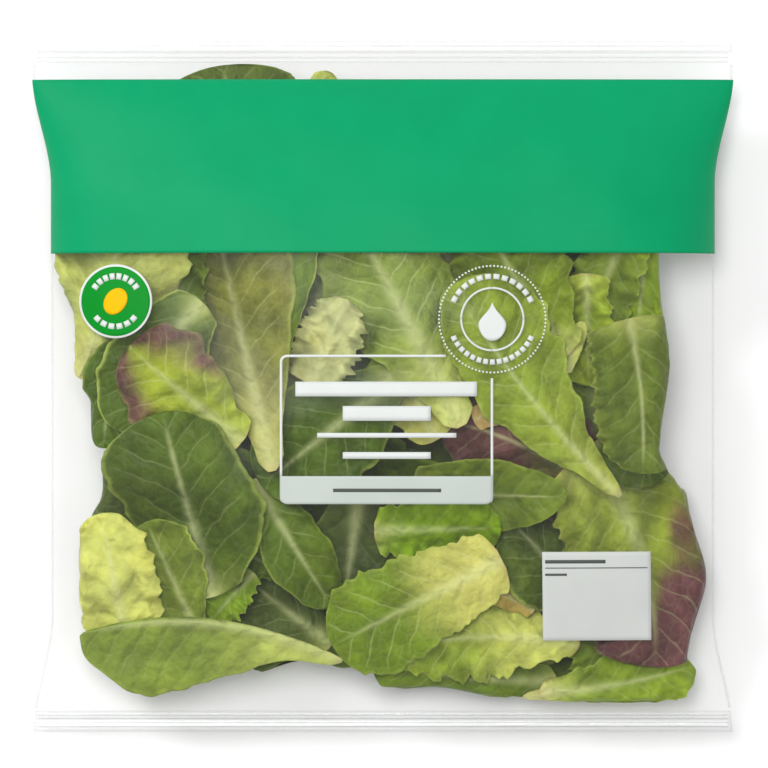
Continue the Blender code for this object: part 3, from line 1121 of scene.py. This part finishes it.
def front_leaves():
    """The leaves that show through the front, from the film downwards."""
    return [
        # low in the middle: a spoon-shaped leaf with a pale frilled heart
        leaf("heart", FRESH, (42, -61), (-18, -92), 37, heart=0.44, pale=(214, 208, 140),
             ruffle=2.0, waves=6, stem=0.62, belly=0.7, veins=0.8, crumple=1.2, rag=0.03, rim=0.25),
        # bottom left: a leaf folded along its thick midrib, which is its upper edge
        leaf("light", (130, 147, 72), (-14, -97), (-110, -89), 50, bow=-9, right=0.1,
             curl_right=1.5, stem=0.14, belly=0.66, heart=0.36, side=-1, ruffle=0.9,
             pale=(192, 200, 128), rim=0.25, rib=1.5, veins=0.3),
        # left edge: crumpled pale heart leaf, then a light one behind it
        leaf("heart", PALE, (-91, -92), (-100, -45), 31, heart=0.1, crumple=2.4, bumps=12,
             ruffle=2.4, waves=5, stem=0.8, belly=0.5, lobes=0.1, pale=(158, 176, 60), rag=0.03),
        leaf("light", (124, 140, 58), (-64, -92), (-84, -48), 31, heart=0.05, rim=0.5, ruffle=1.6,
             right=0.9, crumple=1.6, curl_right=0.7, waves=5, lobes=0.08),
        # broad dark leaf on the left
        leaf("green", DEEP, (-61, -75), (-78, -9), 52, stem=0.46, belly=0.55, side=-1,
             curl_left=0.8, curl_right=0.45, rim=0.4, crumple=1.2, veins=0.4, skew=0.17, cut=0.0,
             rib=0.7),
        # right: large light leaf that narrows to its cut stem
        leaf("light", LIGHT, (84, -39), (24, 36), 44, stem=0.12, belly=0.66, heart=0.14,
             ruffle=1.8, waves=5, crumple=1.9, bow=3, pale=(190, 192, 112), rim=0.3, lobes=0.1,
             veins=0.7, left=0.72, skew=-0.08, folds=7),
        # right edge: olive leaf with a frilled side, a darker one under it
        leaf("green", (98, 114, 36), (87, 24), (92, -31), 33, stem=0.95, belly=0.4, ruffle=2.2,
             waves=9, crumple=1.7, lobes=0.07, rag=0.03, bow=2, veins=0.4, end=5.0, curl_right=0.2,
             skew=0.1, rim=0.3, bumps=12, drop=0.3, rib=0.45, cut=0.1),
        leaf("green", DEEP, (84, -4), (96, -35), 29, stem=0.6, drop=0.6, lobes=0.08),
        # red-tipped leaf on the left
        leaf("red", GOLD, (-50, -20), (-90, 14), 37, red=0.95, red_from=0.66, stem=0.42, heart=0.1,
             ruffle=1.5, crumple=1.6, pale=(176, 186, 96), bumps=9, veins=0.7, skew=-0.1, end=3.0,
             lobes=0.1),
        leaf("green", (80, 103, 16), (-64, 30), (-91, -17), 37, curl_left=0.6, rim=0.65, stem=0.5,
             belly=0.55, ruffle=1.0, bow=-3, cut=0.0),
        leaf("green", (74, 99, 10), (-86, 20), (-99, -22), 24, stem=0.5, belly=0.5, rim=0.25,
             bow=-3, lobes=0.08, cut=0.0),
        # top left: pale ruffled leaf with its cut stem, and a crumpled one beside it
        leaf("heart", (184, 188, 128), (-108, 3), (-93, 70), 52, stem=0.15, belly=0.72, heart=0.15,
             ruffle=2.6, waves=6, crumple=1.9, bow=-4, pale=(206, 198, 138), lobes=0.1, veins=0.8,
             rib=1.4, skew=0.06),
        leaf("green", MID, (-70, 20), (-79, 58), 25, crumple=2.4, bumps=9, ruffle=2.8, waves=7,
             stem=0.6, lobes=0.12, rag=0.04, rim=0.2),
        # long hanging leaf between the badge and the panel
        leaf("light", OLIVE, (-39, -30), (-63, 74), 46, stem=0.19, belly=0.7, left=0.95, heart=0.2,
             rim=0.3, curl_left=0.6, pale=(196, 190, 140), veins=0.6, crumple=1.3, rib=1.2,
             skew=0.05, folds=6),
        # narrow leaf folded on itself, with light rims, then the torn pale leaf beside it
        leaf("green", (108, 134, 26), (-36, 6), (-30, 68), 20, left=0.9, right=0.95, curl_left=1.1,
             curl_right=0.9, stem=0.25, rim=0.8, ruffle=1.1, crumple=1.3, rib=0.5, waves=4,
             cut=0.0),
        leaf("heart", (190, 190, 162), (-26, 1), (-13, 31), 24, stem=0.8, belly=0.45, lobes=0.16,
             waves=8, ruffle=2.4, crumple=1.9, bumps=8, rag=0.07, pale=(200, 190, 160)),
        # large light leaf at the top middle with a pale midrib
        leaf("light", SOFT, (28, -14), (-14, 66), 44, stem=0.24, heart=0.26, crumple=1.7,
             ruffle=2.0, waves=5, pale=(196, 200, 128), rib=1.8, lobes=0.1, veins=1.0, folds=7),
        # crumpled leaves behind the round mark
        leaf("light", (118, 136, 34), (64, 10), (34, 60), 40, stem=0.4, belly=0.6, crumple=2.4,
             bumps=11, ruffle=2.4, waves=6, heart=0.12, lobes=0.12, rag=0.03),
        leaf("heart", (196, 202, 140), (64, 5), (71, 23), 6.5, heart=0.2, stem=0.8,
             pale=(214, 216, 176), ruffle=0.6, crumple=0.4, rib=1.6),
        leaf("heart", (150, 168, 48), (72, 40), (73, 0), 20, heart=0.1, stem=0.7, ruffle=2.4,
             waves=6, crumple=2.4, bumps=8, rim=0.5, lobes=0.14, rag=0.04, pale=(180, 190, 96)),
        leaf("light", (126, 146, 48), (88, 60), (70, 16), 25, ruffle=2.2, waves=6, rim=0.3,
             crumple=2.0, stem=0.8, lobes=0.12, rag=0.03, end=3.0),
        leaf("light", (136, 160, 34), (96, 74), (90, 16), 24, stem=0.8, ruffle=1.6, lobes=0.1,
             waves=5, rag=0.03, crumple=1.6, end=4.0),
        # small vivid leaf over the smooth pointed one, right of the panel's foot
        leaf("light", VIVID, (-3, -51), (42, -50), 23, stem=0.7, belly=0.5, ruffle=2.8, waves=8,
             crumple=2.4, bumps=8, lobes=0.14, rag=0.05, rim=0.5, end=3.0, veins=0.3),
        leaf("green", (108, 126, 38), (10, -38), (65, -39), 26, stem=0.75, belly=0.5, ruffle=0.7,
             veins=0.3, rim=0.2, lobes=0.03, end=1.5, rib=0.6, cut=0.0),
        # behind the panel
        leaf("green", (76, 99, 18), (6, 4), (-43, -35), 40, stem=0.3, belly=0.5, rim=0.35,
             crumple=1.2, lobes=0.08),
        leaf("heart", (158, 172, 70), (19, -19), (1, 14), 27, heart=0.5, crumple=1.9, ruffle=2.0,
             waves=6, pale=(190, 186, 120), stem=0.5, lobes=0.1, rag=0.03),
        leaf("heart", CREAM, (32, -12), (54, -2), 12, heart=0.7, stem=0.7, pale=(206, 172, 140),
             rib=0.6),
        # right: red-edged pair
        leaf("red", (144, 157, 58), (72, -22), (97, -100), 58, red=1.0, red_from=0.62,
             red_along=0.9, red_out=0.3, stem=0.62, belly=0.6, heart=0.1, ruffle=2.6, waves=6,
             crumple=2.4, veins=0.6, bow=7, curl_left=0.5, bumps=11, lobes=0.1, rag=0.02, end=3.0,
             folds=7),
        leaf("red", (116, 112, 58), (86, -52), (20, -12), 38, red=0.95, red_from=0.34, stem=0.5,
             belly=0.5, crumple=1.7, bow=-8, ruffle=2.2, waves=6, veins=0.3, lobes=0.12, rib=0.6,
             cut=0.0),
        # round dark leaf under the date box
        leaf("green", (84, 101, 34), (76, -80), (45, -47), 34, stem=0.4, belly=0.5, rim=0.45,
             ruffle=1.0),
        # browned stem end low in the middle
        leaf("heart", (170, 158, 84), (54, -79), (24, -64), 14, heart=0.5, stem=0.5, ruffle=1.6,
             pale=(176, 150, 92), curl_left=0.8, lobes=0.16, waves=5),
        # bottom middle: pale-ribbed frilled leaf and what lies under it
        leaf("light", (138, 156, 62), (70, -91), (2, -93), 30, stem=0.4, belly=0.55, heart=0.5,
             pale=(208, 210, 132), ruffle=2.8, waves=9, crumple=2.4, bow=-3, side=-1, lobes=0.16,
             rag=0.05, bumps=10, veins=0.9),
        leaf("light", (130, 152, 46), (56, -109), (112, -99), 24, stem=0.35, belly=0.6, heart=0.14,
             pale=CREAM, ruffle=2.2, waves=6, bow=-2, rim=0.4, lobes=0.14, rag=0.04, crumple=2.2,
             bumps=11),
        leaf("heart", CREAM, (50, -111), (103, -108), 9, stem=0.5, waves=5, lobes=0.14,
             crumple=0.6, end=1.6),
        leaf("green", (104, 126, 36), (62, -105), (-4, -98), 22, stem=0.5, ruffle=1.6, bow=2,
             lobes=0.12, waves=5, rag=0.03, crumple=1.4),
        leaf("light", (118, 138, 46), (74, -76), (86, -106), 29, stem=0.6, ruffle=2.2, crumple=1.8,
             lobes=0.12, waves=6, rag=0.03),
        # left of the middle: leaves round the dark gap; the two laid deepest in it have dull
        # grey-green tones, partly painted shade
        leaf("green", (88, 110, 14), (-46, -33), (-18, -78), 24, stem=0.4, belly=0.5, rim=0.25,
             curl_left=0.8, ruffle=0.9, lobes=0.08),
        leaf("green", DULL, (-8, -36), (-14, -79), 34, stem=0.5, ruffle=0.8, veins=0.2, drop=2.0),
        leaf("light", (128, 156, 40), (-46, -66), (-61, -83), 14, rim=0.5, ruffle=2.4, drop=0.5,
             stem=0.6, lobes=0.18, waves=6, rag=0.05, cut=0.0),
        leaf("light", (112, 140, 30), (-34, -66), (-50, -59), 12, rim=0.5, ruffle=2.4, drop=0.5,
             stem=0.6, lobes=0.18, waves=5, cut=0.0),
        leaf("green", (82, 96, 48), (-18, -92), (-50, -68), 27, stem=0.4, heart=0.1, rim=0.5,
             drop=6.0, curl_right=0.7, pale=(160, 170, 96)),
        # tips that pass the head of the band
        leaf("green", (84, 102, 38), (-52, 78), (-57, 114.5), 58, stem=0.6, belly=0.5, ruffle=0.8,
             rim=0.2),
        leaf("heart", (196, 200, 130), (-22, 84), (-21, 112.5), 14, ruffle=1.4, lobes=0.12,
             waves=5),
    ]


def loose_leaves(count, seed, tones, drop):
    """Leaves strewn evenly over the bag at random turns."""
    rng = np.random.default_rng(seed)
    made = []
    golden = 0.618034
    for number in range(count):
        u = ((number + 0.5) * golden) % 1.0
        v = (number + 0.5) / count
        centre = np.array([(u * 2 - 1) * 84.0 - 5.0, (v * 2 - 1) * 90.0])
        length = rng.uniform(58.0, 86.0)
        turn = rng.uniform(0, 2 * np.pi)
        step = np.array([math.cos(turn), math.sin(turn)]) * length / 2
        reach = np.array([94.0, 98.0])
        base = np.clip(centre - step, -reach, reach)
        tip = np.clip(centre + step, -reach, reach)
        if np.hypot(*(tip - base)) < 35.0:
            continue
        group, tone = tones[rng.integers(len(tones))]
        made.append(leaf(group, tone, base, tip, rng.uniform(34.0, 50.0), fine=False,
                         heart=0.12, bow=rng.uniform(-7, 7), stem=rng.uniform(0.18, 0.35),
                         belly=rng.uniform(0.5, 0.66), side=int(rng.choice((-1, 1))),
                         ruffle=rng.uniform(0.8, 2.2), drop=drop * rng.uniform(0.2, 1.0),
                         curl_left=rng.uniform(0.1, 0.7), curl_right=rng.uniform(0.1, 0.7)))
    return made


def make_leaves():
    """Fill the bag: front leaves, back leaves, then loose ones between them."""
    front = Stack(1)
    back = Stack(-1)
    tones = (("loose_green", DEEP), ("loose_green", MID), ("loose_light", SOFT),
             ("loose_light", FRESH), ("loose_green", DULL))
    groups = {}
    number = 0
    for stack, made in ((front, front_leaves()),
                        (back, loose_leaves(30, 5, tones, 0.4)),
                        (front, loose_leaves(34, 8, tones, 1.5)),
                        (front, loose_leaves(30, 9, tones, 2.5))):
        for one in made:
            groups.setdefault(one["group"], []).append(leaf_mesh(one, stack, number))
            number += 1
    for group, meshes in groups.items():
        leaf_piece("leaves_" + group, meshes, leaf_material("leaf_" + group))


# ---------------------------------------------------------------- stage

def make_floor():
    """A plain pale floor."""
    bpy.ops.mesh.primitive_plane_add(size=8.0, location=(0, 0, 0))
    floor = bpy.context.object
    floor.name = "floor"
    material, _, shader = new_material("floor")
    shader.inputs["Base Color"].default_value = (0.97, 0.97, 0.97, 1.0)
    shader.inputs["Roughness"].default_value = 0.8
    shader.inputs["Specular IOR Level"].default_value = 0.1
    floor.data.materials.append(material)


def make_light():
    """Soft studio lamps that aim at the bag, and an even pale sky."""
    for name, place, size, power in STUDIO_LIGHTS:
        data = bpy.data.lights.new(name, "AREA")
        data.size = size
        data.energy = power
        lamp = bpy.data.objects.new(name, data)
        lamp.location = place
        aim = -np.array(place)
        tilt = math.atan2(math.hypot(aim[0], aim[1]), -aim[2])
        lamp.rotation_euler = (tilt, 0, math.atan2(aim[1], aim[0]) - math.pi / 2)
        bpy.context.scene.collection.objects.link(lamp)
    world = bpy.data.worlds.new("studio")
    world.use_nodes = True
    sky = world.node_tree.nodes["Background"]
    sky.inputs["Color"].default_value = (1.0, 1.0, 1.0, 1.0)
    sky.inputs["Strength"].default_value = SKY
    bpy.context.scene.world = world


def make_camera():
    """A long-lens camera straight above the bag."""
    data = bpy.data.cameras.new("camera")
    data.sensor_width = 36.0
    data.lens = data.sensor_width * (CAMERA_HEIGHT - SEAM_HEIGHT) / VIEW_WIDTH
    data.clip_end = 20.0
    camera = bpy.data.objects.new("camera", data)
    camera.location = (CAMERA_OFFSET[0] * MM, CAMERA_OFFSET[1] * MM, CAMERA_HEIGHT * MM)
    bpy.context.scene.collection.objects.link(camera)
    bpy.context.scene.camera = camera
    bpy.context.scene.view_settings.view_transform = "Standard"


# ---------------------------------------------------------------- build

make_floor()
make_light()
make_camera()
make_film()
make_fin_seal()
make_film_marks()
make_print()
make_leaves()
